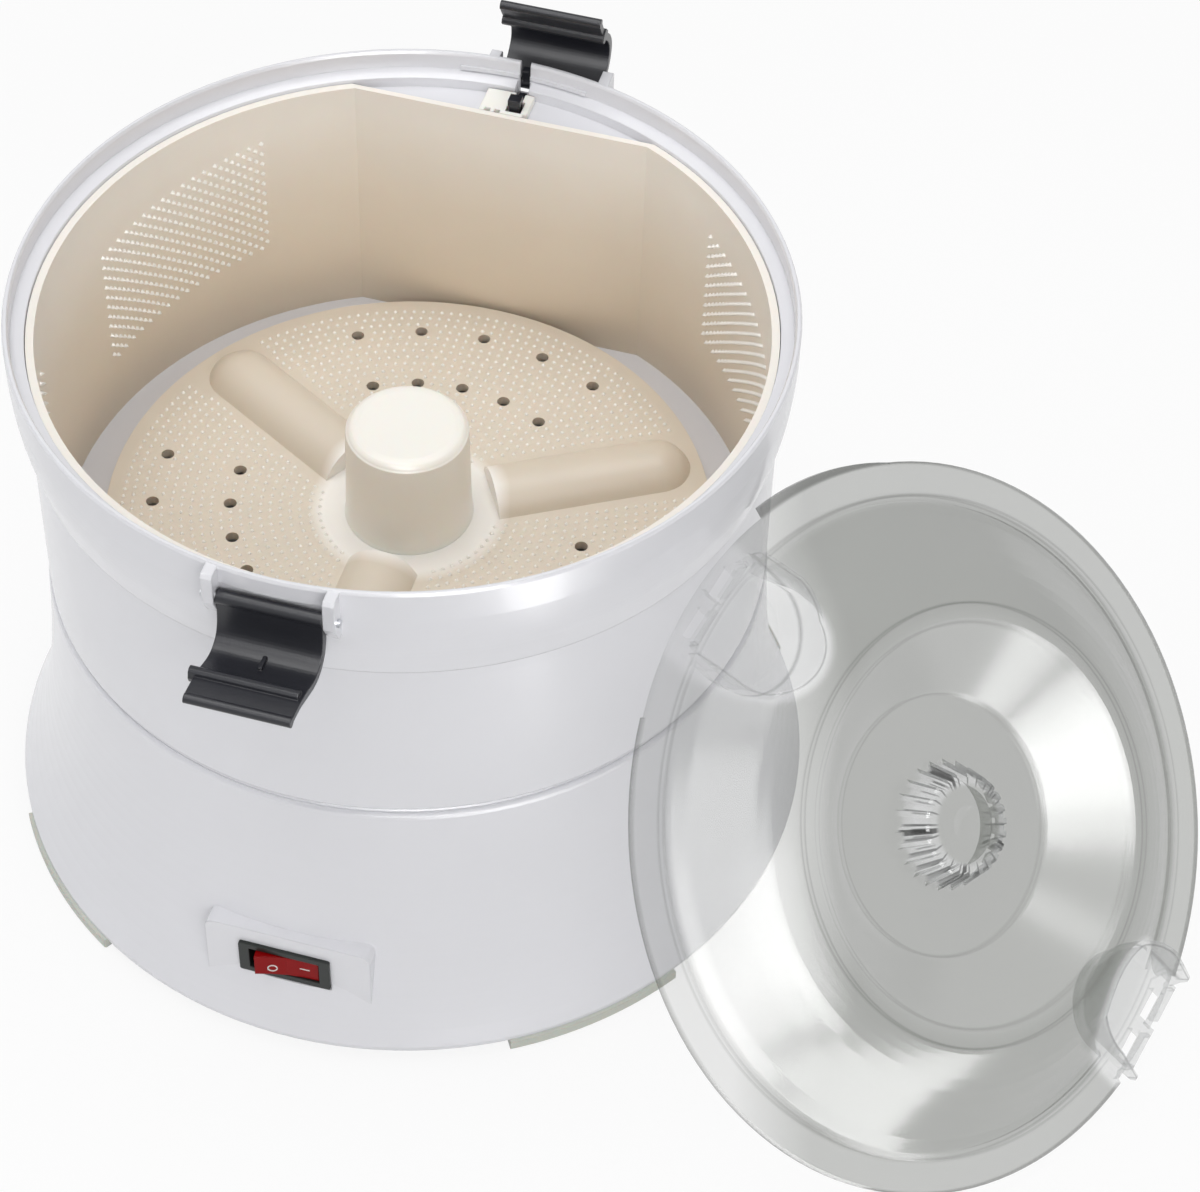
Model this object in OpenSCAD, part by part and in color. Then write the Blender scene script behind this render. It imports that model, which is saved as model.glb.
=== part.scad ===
// Electric potato peeler: a two-tone drum on a flared motor base, with a
// peeling disc on an upright shaft, two lid clips and a clear lid that
// leans beside it.  Millimetres, +Z up, front (switch side) towards -Y.
// Shapes are drawn about the drum axis, then place() moves them all.

/* [Base] */
// Radius of the base at its lowest edge
base_r = 139.5; // [138:0.5:144]
// How far the neck under the drum stands out past the drum's wall
neck_step = 0.8; // [0.4:0.1:2]
// Height of the base's deck above the table
base_h = 107; // [105:0.5:110]
// Wall of the base housing
base_wall = 2.6; // [2.2:0.1:3]
// Thickness of the deck
deck_t = 3; // [2.5:0.1:3.5]
// Thickness of the bottom cover
cover_t = 2.5; // [2:0.1:3]

/* [Feet] */
// Height of the rubber feet
foot_h = 4.5; // [3.5:0.1:6]
// Length of each foot round the base, in degrees
foot_arc = 26; // [18:1:34]
// Width of each foot towards the centre
foot_w = 10; // [8:0.5:14]
// How far a foot stands out past the base's edge
foot_lip = 1.3; // [0.6:0.1:1.8]

/* [Drum] */
// Outer radius of the drum's straight wall
drum_r = 120.4; // [119.6:0.1:121.2]
// How far the rim stands out past the drum's wall
rim_step = 4.6; // [4.2:0.1:5.6]
// Height of the rim above the table
rim_h = 215.2; // [212:0.2:219]
// Wall of the drum
drum_wall = 2.2; // [1.9:0.1:2.4]
// Gap between the base's deck and the drum's lower edge
seam_gap = 0.8; // [0.6:0.1:1.6]
// Depth of the lid's seat below the rim
seat_depth = 7; // [6:0.2:8]
// Thickness of the drum's floor
drum_floor = 2.5; // [2.2:0.1:3]

/* [Liner] */
// Wall of the peeling liner
liner_wall = 2; // [1.6:0.1:2.2]
// Gap between the liner and the drum's wall
liner_gap = 0.2; // [0.1:0.05:0.4]
// How far the liner's flat side lies in from the drum's outer wall
flat_in = 16.4; // [15:0.2:17.4]

/* [Peeling disc] */
// Gap between the disc and the liner's flat side
disc_gap = 2.5; // [2:0.1:4]
// Thickness of the disc
disc_t = 3.4; // [3:0.1:4]
// Height of the disc above the drum's floor
disc_lift = 6.4; // [5.6:0.1:7]
// Number of raised bars on the disc
disc_bars = 3; // [2:1:4]
// Height of a bar
bar_h = 8; // [6:0.5:10]
// Radius of a bar's rounding
bar_r = 13; // [12:0.5:15]
// Radius of the hub cap
hub_r = 20.4; // [19:0.2:22]
// Height of the hub cap
hub_h = 39.5; // [37:0.5:43]
// Wall of the hub cap
hub_wall = 2.6; // [2:0.1:3.2]

/* [Drive] */
// Radius of the drive shaft
shaft_r = 5; // [4.6:0.1:5.4]
// Radial running clearance of every shaft in its bush
run_gap = 0.05; // [0.03:0.01:0.08]
// Module of the fast gear pair
mod_a = 1; // [1:0.05:1]
// Teeth on the motor pinion
teeth_pinion = 12; // [12:1:14]
// Teeth on the large idler gear
teeth_idler = 60; // [56:2:62]
// Module of the slow gear pair
mod_b = 1.25; // [1.2:0.05:1.3]
// Teeth on the small idler gear
teeth_small = 15; // [14:1:16]
// Teeth on the drive gear
teeth_drive = 72; // [68:1:74]
// How far the gear plate's lower face lies below the base's deck
plate_drop = 31; // [30:0.5:33]
// Thickness of the gear plate
plate_t = 2; // [1.6:0.1:2.4]
// How far the gear plate's edge lies in from the neck's outer face
plate_in = 19.2; // [17:0.2:21]

/* [Motor] */
// Radius of the motor can
motor_r = 26; // [24:0.5:28]
// Height of the motor's lower end above the table
motor_low = 26; // [25:0.5:29]
// Radius of the motor shaft
mshaft_r = 2.5; // [2.3:0.1:2.8]
// Radius of the armature
armature_r = 17.5; // [16:0.25:18]
// Radius of the cooling fan
fan_r = 20; // [18:0.5:22]

/* [Switch] */
// Width of the switch frame
switch_w = 31.4; // [30:0.2:33]
// Height of the switch frame
switch_hh = 14.6; // [13.6:0.2:15.6]
// Height of the switch's middle above the table
switch_z = 33.2; // [31:0.2:35]
// Tilt of the rocker, in degrees
rocker_tilt = 9; // [6:0.5:11]
// Sideways place of the switch
switch_x = -2.2; // [-4:0.2:4]
// Width of the raised switch panel
panel_w = 57; // [54:0.5:60]
// Height of the raised switch panel's top above the table
panel_top = 47; // [45:0.5:50]
// How far the panel's face stands out past the base at the switch's height
panel_out = 0.62; // [0.1:0.02:1.4]

/* [Clips] */
// Radius of a clip's hinge barrel
barrel_r = 2.3; // [2.1:0.1:2.4]
// Radius of a clip's steel pin
pin_r = 1.25; // [1:0.05:1.35]
// Half width of a clip between its ears
clip_half = 16.4; // [15.6:0.2:17]
// Half width of the rear clip between its ears
rear_half = 17.4; // [16.6:0.1:17.8]
// Half length of a clip's latching bar
bar_half = 16.8; // [16.5:0.1:17.4]
// Sideways offset of the latching bar from the clip's middle
bar_shift = 1.5; // [0.2:0.1:1.8]
// Radius of the rolled end of a clip's finger lip
lip_r = 1.6; // [1.2:0.1:1.8]
// Sideways offset of the rear clip
rear_shift = 11.5; // [10.5:0.1:12]
// Thickness of a hinge ear
ear_t = 3.6; // [3:0.1:4]
// Side gap between a clip and its ears
ear_gap = 0.4; // [0.3:0.05:0.8]

/* [Safety lock] */
// Sideways place of the push rod, lined up with the rim's notch
rod_x = 3.3; // [3:0.1:4]
// Radius of the push rod
rod_r = 1.6; // [1.4:0.05:1.8]
// Travel of the push rod
rod_travel = 3.5; // [2.5:0.25:4]
// Radius of the spring's coil
coil_r = 3; // [2.8:0.1:3.2]
// Radius of the spring's wire
wire_r = 0.45; // [0.35:0.05:0.5]

/* [Lid] */
// Room between the lid's edge and the inside of the rim
lid_play = 5.4; // [4.4:0.1:6.4]
// Wall of the lid
lid_t = 2; // [1.8:0.1:2.2]
// Width of the lid's flat brim
brim_w = 11.6; // [10.6:0.2:12.6]
// Width of the lid's outer slope, from brim to crown
crown_in = 36; // [34:0.5:38]
// Height of the lid's crown above its brim's underside
crown_h = 26; // [24:0.5:28]
// Radius of the lid's dish
dish_r = 41.5; // [40:0.5:43]
// Height of the dish's face
dish_h = 7.5; // [7:0.25:9]
// Radius of the knob at its foot
knob_r = 21.4; // [20:0.2:22.5]
// Height of the knob above the dish
knob_h = 11.7; // [10:0.1:13]
// Ribs round the knob
knob_ribs = 24; // [20:1:28]
// Radius of a clip pocket at its floor
pocket_r = 15.4; // [14.6:0.1:16]
// How much wider a pocket is at its top
pocket_flare = 3.8; // [3.4:0.1:4.6]
// Distance of a pocket's round end in from the lid's edge
pocket_in = 19.6; // [18.6:0.2:21]
// Height of a pocket's side wall at its open end
pocket_low = 13; // [11:0.5:15]
// Height of a pocket's side wall at its round end
pocket_high = 18.5; // [16:0.5:19]
// Height of the catch ridge in a pocket
ridge_h = 7.4; // [6:0.2:8.6]
// How far the brim's ear stands out past the lid's edge
brim_ear = 3; // [1:0.2:3.2]
// Angle of the leaning lid's face above the horizontal
lean_el = 42.4; // [40:0.2:45]
// Compass angle of the lid's face from the front
lean_az = 62.3; // [60:0.5:66]
// Leaning lid's middle from the drum's wall, as a share of the lid's radius
lean_reach = 0.6837; // [0.6835:0.0005:0.72]
// Compass angle of the lid's middle from the front
lean_at = 74.1; // [73:0.1:76]

/* [Screws] */
// Radius of every screw's shank
screw_r = 1.6; // [1.4:0.05:1.8]
// Radius of every screw's head
head_r = 3.2; // [2.9:0.1:3.5]
// Height of every screw's head
head_h = 2; // [1.8:0.1:2.4]

/* [Hidden] */
$fn = 96;

WHITE = [0.93, 0.93, 0.94];
CREAM = [0.82, 0.77, 0.70];
SLATE = [0.18, 0.19, 0.21];
STEEL = [0.72, 0.73, 0.75];
BRASS = [0.78, 0.62, 0.30];
NYLON = [0.88, 0.88, 0.82];

// radii that follow the drum's wall and the base
neck_r = drum_r + neck_step;
rim_r = drum_r + rim_step;
flat_y = drum_r - flat_in;
plate_r = neck_r - plate_in;
plate_z = base_h - plate_drop;
motor_len = plate_z - motor_low;

// outer radius of the base at height z
flare_low = foot_h + 1.5;
flare_top = base_h - 1.5;
function flare(t) = 0.72 * pow(1 - t, 3) + 0.28 * (1 - t);
function base_at(z) = neck_r + (base_r - neck_r) * flare((z - flare_low) / (flare_top - flare_low));
panel_y = base_at(switch_z) + panel_out;

// heights up the axis
cover_top = foot_h + cover_t;
deck_low = base_h - deck_t;
drum_z = base_h + seam_gap;
floor_top = drum_z + drum_floor;
seat_z = rim_h - seat_depth;
lip_in = rim_r - 2;
plate_top = plate_z + plate_t;
drum_in = drum_r - drum_wall;
liner_out = drum_in - liner_gap;
liner_in = liner_out - liner_wall;
liner_top = seat_z - 2;
shelf_top = liner_top - 2.5;
shelf_t = 2.2;
flat_out = flat_y + liner_wall;

// drive train
cd_a = mod_a * (teeth_pinion + teeth_idler) / 2;
cd_b = mod_b * (teeth_small + teeth_drive) / 2;
idler_x = -cd_b;
motor_turn = 100;
motor_x = idler_x + cd_a * cos(motor_turn);
motor_y = cd_a * sin(motor_turn);
fast_z = plate_top + 3;
fast_w = 6;
slow_z = fast_z + fast_w + 2.5;
slow_w = 8;
collar_z = slow_z + slow_w + 2;
bush_wall = 3;
bush_top = floor_top - 1.5;
collar_r = shaft_r + bush_wall + 3;
post_r = plate_r - 7;
plate_post_at = [110, 230, 350];
disc_z = floor_top + disc_lift;
disc_top = disc_z + disc_t;
disc_r = flat_y - disc_gap;
boss_h = 6;
nut_z = disc_top + boss_h;
shaft_top = nut_z + 12;

// lid
lid_r = lip_in - lid_play;
brim_r = lid_r - brim_w;
crown_r = brim_r - crown_in;
pocket_c = lid_r - pocket_in;
lean_d = drum_r + lid_r * lean_reach;

// middle of the footprint: base on the left, leaning lid on the right and in
// front, rear clip behind
lean_nx = cos(lean_el) * sin(lean_az);
lean_ny = -cos(lean_el) * cos(lean_az);
// the lid reaches furthest with a corner of its lower pocket's wall
wall_end = 13.5;
pocket_turns = [108.4, -71.6];
reach = [pocket_c + wall_end, pocket_r + 0.94 * pocket_flare + lid_t, pocket_low];
reach_x = reach[0] * cos(pocket_turns[1]) - reach[1] * sin(pocket_turns[1]);
reach_y = reach[0] * sin(pocket_turns[1]) + reach[1] * cos(pocket_turns[1]);
lid_x_max = lean_d * sin(lean_at) + cos(lean_az) * reach_x
    - sin(lean_az) * (sin(lean_el) * reach_y - cos(lean_el) * reach[2]);
lid_y_min = -lean_d * cos(lean_at) - lid_r * sqrt(1 - lean_ny * lean_ny) + 0.6 * lid_t * lean_ny;
mid_x = (lid_x_max - base_r) / 2;
mid_y = (lid_y_min + rim_r + 14.93) / 2;

// clip hinge, seen in the plane through the drum axis
hinge_r = rim_r + 1.2;
hinge_z = rim_h - 10.2;
face_r = hinge_r - barrel_r - 0.3;
ear_front = rim_r + 3.6;
rear_clip_turn = 116;

// switch
panel_x = switch_x + 1;
panel_low = 16;
body_w = switch_w - 3;
body_hh = switch_hh - 2.4;

// safety lock
rod_y = flat_out + 5;
lug_z = 150;
spring_z = lug_z + 3;
spring_len = 17;
rod_low = deck_low - 7;
press_z = rod_low - rod_travel;
tongue_z = hinge_z - 0.6;
switch_y0 = rod_y - 3;
mount_y = switch_y0 + 6;

// smooth curve through a list of points, n steps to each span
function cr(a, b, c, d, t) = 0.5 * ((2 * b) + (c - a) * t
    + (2 * a - 5 * b + 4 * c - d) * t * t
    + (3 * b - a - 3 * c + d) * t * t * t);
function smooth(p, n) = concat([for (i = [0 : len(p) - 2]) for (k = [0 : n - 1])
    cr(p[max(i - 1, 0)], p[i], p[i + 1], p[min(i + 2, len(p) - 1)], k / n)],
    [p[len(p) - 1]]);
function rev(v) = [for (i = [len(v) - 1 : -1 : 0]) v[i]];
function shift(p, d) = [for (q = p) q + d];

// involute gear outline
function inv(rb, t) = [rb * (cos(t) + t * PI / 180 * sin(t)),
    rb * (sin(t) - t * PI / 180 * cos(t))];
function ang(p) = atan2(p[1], p[0]);
function turn(p, a) = [p[0] * cos(a) - p[1] * sin(a), p[0] * sin(a) + p[1] * cos(a)];
function roll(rb, r) = r <= rb ? 0 : sqrt(r * r / (rb * rb) - 1) * 180 / PI;
function gear_pts(m, z, lash = 0.12) = let (
        rp = m * z / 2, rb = rp * cos(20), ra = rp + 0.92 * m, rd = rp - 1.2 * m,
        half = 90 / z - lash / rp * 90 / PI,
        a0 = half + ang(inv(rb, roll(rb, rp))),
        r0 = max(rb, rd), n = 3,
        flank = [for (i = [0 : n]) turn(inv(rb, roll(rb, r0 + (ra - r0) * i / n)), -a0)],
        root = [turn([rd, 0], -min(a0 + 0.2, 178 / z))])
    [for (k = [0 : z - 1]) let (s = 360 * k / z)
        each concat([for (p = root) turn(p, s)], [for (p = flank) turn(p, s)],
            [for (p = rev(flank)) turn([p[0], -p[1]], s)],
            [for (p = root) turn([p[0], -p[1]], s)])];

// moves the whole part so that the frame's origin is the middle of its
// footprint, lid and all
module place() {
    translate([-mid_x, -mid_y, 0]) children();
}

module ring(ro, ri, h) {
    difference() {
        cylinder(r = ro, h = h);
        translate([0, 0, -1]) cylinder(r = ri, h = h + 2);
    }
}

module at(r, a) {
    rotate([0, 0, a]) translate([0, -r, 0]) children();
}

module rounded(w, h, r) {
    translate([-w / 2 + r, -h / 2]) square([w - 2 * r, h]);
    translate([-w / 2, -h / 2 + r]) square([w, h - 2 * r]);
    for (x = [-1, 1])
        for (y = [-1, 1])
            translate([x * (w / 2 - r), y * (h / 2 - r)]) circle(r = r, $fn = 32);
}

// plate standing up, its face towards -Y, from y0 (front) back to y1
module upright(y0, y1) {
    translate([0, y1, 0]) rotate([90, 0, 0]) linear_extrude(height = y1 - y0) children();
}

module screw(len) {
    cylinder(r = screw_r, h = len);
    translate([0, 0, -head_h]) cylinder(r = head_r, h = head_h);
}

module gear(m, z, h, bore) {
    difference() {
        linear_extrude(height = h) polygon(gear_pts(m, z));
        translate([0, 0, -1]) cylinder(r = bore, h = h + 2, $fn = 48);
    }
}

// ---------- base ----------
flare_n = 16;
base_line = concat([[base_r, foot_h]], [for (i = [0 : flare_n])
    let (z = flare_low + (flare_top - flare_low) * i / flare_n) [base_at(z), z]],
    [[neck_r - 0.4, base_h - 0.4], [neck_r - 1.4, base_h]]);
base_in = shift(base_line, [-base_wall, 0]);

module base_skin() {
    rotate_extrude() polygon(concat([[0, foot_h]], base_line, [[0, base_h]]));
}

module base_room() {
    top = [for (p = base_in) if (p[1] < deck_low - 2) p];
    rotate_extrude() polygon(concat([[0, foot_h - 1], [base_in[0][0], foot_h - 1]],
        top, [[top[len(top) - 1][0] - 1, deck_low], [0, deck_low]]));
}

// raised block behind the switch, d inwards from its outer surface
module panel_block(d) {
    translate([panel_x, 0, (panel_top + panel_low) / 2]) upright(-panel_y + d, -panel_y + 30)
        rounded(panel_w - 2 * d, panel_top - panel_low - 2 * d, 3.5 - d);
}

module base_housing() {
    place() color(WHITE) difference() {
        union() {
            difference() {
                union() {
                    base_skin();
                    panel_block(0);
                }
                base_room();
                panel_block(base_wall);
            }
            // ledge that the cover seats on
            translate([0, 0, cover_top]) ring(base_r - base_wall - 0.4, base_r - 10, 2.5);
            // carrier ring for the drum
            translate([0, 0, base_h - 1]) ring(neck_r - 6.2, neck_r - 9.2, seam_gap + 1);
            // bush collar
            translate([0, 0, collar_z]) cylinder(r = collar_r, h = bush_top - collar_z);
            // posts down to the gear plate
            for (a = plate_post_at)
                rotate([0, 0, a]) translate([0, post_r, plate_top])
                    cylinder(r = 5, h = deck_low - plate_top + 1);
            // posts down to the bottom cover
            for (a = [45 : 90 : 315])
                at(cover_post_r, a) translate([0, 0, cover_top])
                    cylinder(r = 4.5, h = deck_low - cover_top + 1);
            // seat of the idler axle
            translate([idler_x, 0, collar_z]) cylinder(r = 7, h = deck_low - collar_z + 1);
            // carrier of the microswitch
            translate([rod_x - 10.5, mount_y, press_z - 12.5])
                cube([21, 2.4, deck_low - press_z + 13.5]);
            // flat boss for the cord gland
            intersection() {
                base_skin();
                translate([-gland_pad / 2, gland_y - 4, gland_z - gland_pad / 2])
                    cube([gland_pad, 10, gland_pad]);
            }
        }
        // bush bore
        translate([0, 0, collar_z - 1])
            cylinder(r = shaft_r + bush_wall, h = bush_top - collar_z + 2);
        // push rod's way through the deck
        translate([rod_x, rod_y, deck_low - 1]) cylinder(r = rod_r + 0.8, h = deck_t + 4, $fn = 32);
        // screw holes
        for (a = plate_post_at)
            rotate([0, 0, a]) translate([0, post_r, plate_top - 1])
                cylinder(r = screw_r, h = 15, $fn = 32);
        for (a = [45 : 90 : 315])
            at(cover_post_r, a) translate([0, 0, cover_top - 1])
                cylinder(r = screw_r, h = 14, $fn = 32);
        for (a = drum_screw_at)
            at(drum_screw_r, a) translate([0, 0, deck_low - 1])
                cylinder(r = screw_r + 0.3, h = deck_t + 4, $fn = 32);
        // idler axle's blind hole
        translate([idler_x, 0, collar_z - 1]) cylinder(r = axle_r, h = 4, $fn = 48);
        // switch opening
        translate([0, 0, switch_z])
            upright(-base_r - 4, -panel_y + 14) translate([switch_x, 0]) square([body_w, body_hh], center = true);
        // flat seat of the switch frame
        translate([switch_x, 0, switch_z]) upright(-base_r - 4, -panel_y)
            square([switch_w + 0.6, switch_hh + 0.6], center = true);
        // seat and hole of the cord gland
        translate([-gland_seat / 2, gland_y, gland_z - gland_seat / 2])
            cube([gland_seat, 12, gland_seat]);
        translate([0, gland_y - 10, gland_z]) rotate([-90, 0, 0])
            cylinder(r = gland_body, h = gland_seat + 3, $fn = 48);
    }
}

cover_post_r = neck_r - 9.2;
axle_r = 3;
drum_screw_at = [0, 120, 240];
drum_screw_r = 80;
gland_z = 25;
gland_y = base_at(gland_z) - 4.72;
gland_body = 6;
gland_pad = 24;
gland_seat = 17;

module base_cover() {
    place() color(WHITE) difference() {
        translate([0, 0, foot_h]) cylinder(r = base_r - base_wall - 1.4, h = cover_t);
        for (a = [45 : 90 : 315])
            at(cover_post_r, a) translate([0, 0, foot_h - 1])
                cylinder(r = screw_r + 0.2, h = cover_t + 2, $fn = 32);
        // cooling slots below the motor's fan
        for (i = [-3 : 3])
            translate([motor_x - 18, motor_y + i * 6 - 1.4, foot_h - 1])
                cube([36, 2.8, cover_t + 2]);
    }
}

module foot(a) {
    place() color([0.80, 0.80, 0.76]) rotate([0, 0, a - 90 - foot_arc / 2])
        rotate_extrude(angle = foot_arc)
            polygon([[base_r + foot_lip - foot_w, 0], [base_r + foot_lip - 0.8, 0],
                [base_r + foot_lip, 0.8], [base_r + foot_lip, foot_h],
                [base_r + foot_lip - foot_w, foot_h]]);
}

module foot_front_left() { foot(-44); }
module foot_front_right() { foot(44); }
module foot_rear_left() { foot(-136); }
module foot_rear_right() { foot(136); }

module cover_screws() {
    place() color(STEEL) for (a = [45 : 90 : 315])
        at(cover_post_r, a) translate([0, 0, foot_h]) screw(13);
}

// ---------- switch ----------
module switch_frame() {
    place() color([0.22, 0.24, 0.23]) translate([switch_x, 0, 0]) difference() {
        union() {
            translate([0, 0, switch_z]) upright(-panel_y - 1.2, -panel_y)
                rounded(switch_w, switch_hh, 0.8);
            translate([0, 0, switch_z]) upright(-panel_y - 0.8, -panel_y + 17)
                square([body_w - 0.2, body_hh - 0.2], center = true);
        }
        translate([0, 0, switch_z]) upright(-panel_y - 3, -panel_y + 12)
            square([rocker_w + 1.2, rocker_hh + 0.8], center = true);
        // pivot holes of the rocker
        translate([0, rocker_y, switch_z - rocker_hh / 2 - 0.9])
            cylinder(r = 1.2 + run_gap, h = rocker_hh + 1.8, $fn = 32);
    }
}

rocker_w = 23;
rocker_hh = 9.4;
rocker_y = -panel_y + 5;
rocker_low = switch_z - rocker_hh / 2;

module switch_rocker() {
    place() color([0.62, 0.06, 0.06]) translate([switch_x, rocker_y, 0]) rotate([0, 0, rocker_tilt]) {
        translate([0, 0, rocker_low]) linear_extrude(height = rocker_hh)
            polygon([[-rocker_w / 2 + 0.8, -7.2], [-rocker_w / 4, -6.5], [0, -6.2],
                [rocker_w / 4, -6.5], [rocker_w / 2 - 0.8, -7.2], [rocker_w / 2 - 1.2, -1.5],
                [4, 3.6], [-4, 3.6], [-rocker_w / 2 + 1.2, -1.5]]);
        translate([0, 0, rocker_low - 0.6]) cylinder(r = 1.2, h = rocker_hh + 1.2, $fn = 32);
    }
}

module switch_terminals() {
    place() color(BRASS) for (x = [-9, 0, 9])
        translate([switch_x + x - 0.4, -panel_y + 17, switch_z - 2.4]) cube([0.8, 8, 4.8]);
}

module cord_gland() {
    place() color(SLATE) translate([0, 0, gland_z]) rotate([-90, 0, 0]) difference() {
        union() {
            translate([0, 0, gland_y]) cylinder(r = 8, h = 3.2, $fn = 64);
            translate([0, 0, gland_y - 8]) cylinder(r = gland_body, h = 9, $fn = 48);
        }
        translate([0, 0, gland_y - 9]) cylinder(r = 3.6, h = 14, $fn = 48);
    }
}

// ---------- drive ----------
module gear_plate() {
    place() color(STEEL) translate([0, 0, plate_z]) difference() {
        cylinder(r = plate_r, h = plate_t);
        translate([0, 0, -1]) cylinder(r = shaft_r + bush_wall, h = plate_t + 2);
        translate([idler_x, 0, -1]) cylinder(r = axle_r, h = plate_t + 2, $fn = 48);
        translate([motor_x, motor_y, -1]) cylinder(r = mod_a * teeth_pinion / 2 + 3, h = plate_t + 2);
        for (a = plate_post_at)
            rotate([0, 0, a]) translate([0, post_r, -1])
                cylinder(r = screw_r + 0.2, h = plate_t + 2, $fn = 32);
        // round lightening holes
        for (a = [-60, 10, 60])
            rotate([0, 0, a]) translate([64, 0, -1]) cylinder(r = 14, h = plate_t + 2, $fn = 64);
    }
}

module plate_screws() {
    place() color(STEEL) for (a = plate_post_at)
        rotate([0, 0, a]) translate([0, post_r, plate_z]) screw(14);
}

can_z = motor_low;

module motor_can() {
    place() color(STEEL) translate([motor_x, motor_y, can_z]) {
        difference() {
            cylinder(r = motor_r, h = motor_len);
            translate([0, 0, -1]) cylinder(r = motor_r - 1.6, h = motor_len - 1);
            translate([0, 0, motor_len - 3]) cylinder(r = mshaft_r + run_gap, h = 4, $fn = 48);
        }
    }
}

module motor_magnets() {
    place() color([0.25, 0.25, 0.27]) translate([motor_x, motor_y, can_z + 9]) for (s = [0, 180])
        rotate([0, 0, s - 65]) rotate_extrude(angle = 130)
            translate([armature_r + 1, 0]) square([motor_r - 1.6 - armature_r - 1, motor_len - 18]);
}

module motor_end_cap() {
    place() color([0.20, 0.22, 0.24]) translate([motor_x, motor_y, can_z - 3]) difference() {
        union() {
            cylinder(r = motor_r, h = 3);
            translate([0, 0, -2]) cylinder(r = 8, h = 3);
            cylinder(r = motor_r - 1.6, h = 5);
        }
        translate([0, 0, 1.5]) cylinder(r = motor_r - 4, h = 6);
        translate([0, 0, -3]) cylinder(r = mshaft_r + run_gap, h = 8, $fn = 48);
        for (a = [0 : 60 : 300])
            rotate([0, 0, a]) translate([15, 0, -1]) cylinder(r = 3, h = 8, $fn = 32);
    }
}

module motor_rotor() {
    place() color([0.70, 0.45, 0.25]) translate([motor_x, motor_y, 0]) {
        translate([0, 0, fan_z - 1]) cylinder(r = mshaft_r, h = fast_z + fast_w + 1 - fan_z, $fn = 48);
        translate([0, 0, can_z + 12]) cylinder(r = armature_r, h = motor_len - 24);
        translate([0, 0, can_z + 3]) cylinder(r = 6, h = 7, $fn = 48);
    }
}

fan_z = cover_top + 3.5;

module motor_pinion() {
    place() color(BRASS) translate([motor_x, motor_y, fast_z]) rotate([0, 0, pinion_phase])
        gear(mod_a, teeth_pinion, fast_w, mshaft_r);
}

module motor_fan() {
    place() color([0.20, 0.22, 0.24]) translate([motor_x, motor_y, fan_z]) difference() {
        union() {
            cylinder(r = 6, h = 7);
            cylinder(r = fan_r, h = 1.2);
            for (a = [0 : 45 : 315])
                rotate([0, 0, a]) translate([4, -0.6, 0]) cube([fan_r - 5, 1.2, 6]);
        }
        translate([0, 0, -2]) cylinder(r = mshaft_r, h = 12, $fn = 48);
    }
}

module rectifier_board() {
    place() color([0.10, 0.35, 0.22]) translate([14, -75, cover_top]) difference() {
        union() {
            translate([0, 0, 5]) cube([44, 32, 1.6]);
            for (x = [4, 40])
                for (y = [4, 28])
                    translate([x, y, 0]) cylinder(r = 3, h = 5.5, $fn = 32);
            translate([8, 9, 6.6]) cube([15, 4, 14]);
            translate([32, 18, 6.6]) cylinder(r = 6, h = 18, $fn = 48);
        }
        translate([30, 5, 4]) cylinder(r = 1.5, h = 4, $fn = 32);
    }
}

module idler_axle() {
    place() color(STEEL) translate([idler_x, 0, plate_z - 1]) {
        cylinder(r = axle_r, h = collar_z - plate_z + 4, $fn = 48);
        translate([0, 0, -1]) cylinder(r = 5, h = 2, $fn = 48);
    }
}

module idler_gear() {
    place() color(NYLON) translate([idler_x, 0, 0]) difference() {
        union() {
            translate([0, 0, fast_z]) rotate([0, 0, idler_phase_a])
                linear_extrude(height = fast_w) polygon(gear_pts(mod_a, teeth_idler));
            translate([0, 0, slow_z]) rotate([0, 0, idler_phase_b])
                linear_extrude(height = slow_w + 1) polygon(gear_pts(mod_b, teeth_small));
            translate([0, 0, plate_top + 0.6])
                cylinder(r = 7, h = slow_z - plate_top - 0.6);
        }
        translate([0, 0, plate_top - 1])
            cylinder(r = axle_r + run_gap, h = slow_z + slow_w - plate_top + 4, $fn = 48);
    }
}

// the drive gear has a tooth on its -X side; the small idler gear shows it a gap
idler_phase_b = 180 / teeth_small;
drive_phase = teeth_drive % 2 == 0 ? 0 : 180 / teeth_drive;
// the pinion shows the large idler gear a tooth where that one has a gap
idler_phase_a = motor_turn - 180 / teeth_idler;
pinion_phase = motor_turn + 180;

module drive_gear() {
    place() color(NYLON) difference() {
        union() {
            translate([0, 0, slow_z]) rotate([0, 0, drive_phase])
                linear_extrude(height = slow_w) polygon(gear_pts(mod_b, teeth_drive));
            translate([0, 0, slow_z - 1]) cylinder(r = 10, h = slow_w + 2);
        }
        translate([0, 0, slow_z - 2]) cylinder(r = shaft_r, h = slow_w + 4, $fn = 64);
        for (a = [0 : 60 : 300])
            rotate([0, 0, a + 30]) translate([26, 0, slow_z - 1])
                cylinder(r = 8, h = slow_w + 2, $fn = 48);
    }
}

module drive_shaft() {
    place() color(STEEL) difference() {
        translate([0, 0, plate_z - 5]) cylinder(r = shaft_r, h = shaft_top - plate_z + 5, $fn = 64);
        translate([0, 0, plate_z - 3.5]) ring(shaft_r + 2, shaft_r - 0.6, 1.2);
        // flats that drive the disc
        for (s = [-1, 1])
            translate([s * (shaft_r + 4.1) - 5, -10, disc_z]) cube([10, 20, 60]);
    }
}

module shaft_circlip() {
    place() color(SLATE) translate([0, 0, plate_z - 3.5]) difference() {
        ring(shaft_r + 2.6, shaft_r - 0.6, 1.2);
        translate([0, -2, -1]) cube([20, 4, 4]);
    }
}

module bush(z0, z1) {
    translate([0, 0, z0]) ring(shaft_r + bush_wall, shaft_r + run_gap, z1 - z0);
}

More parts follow.
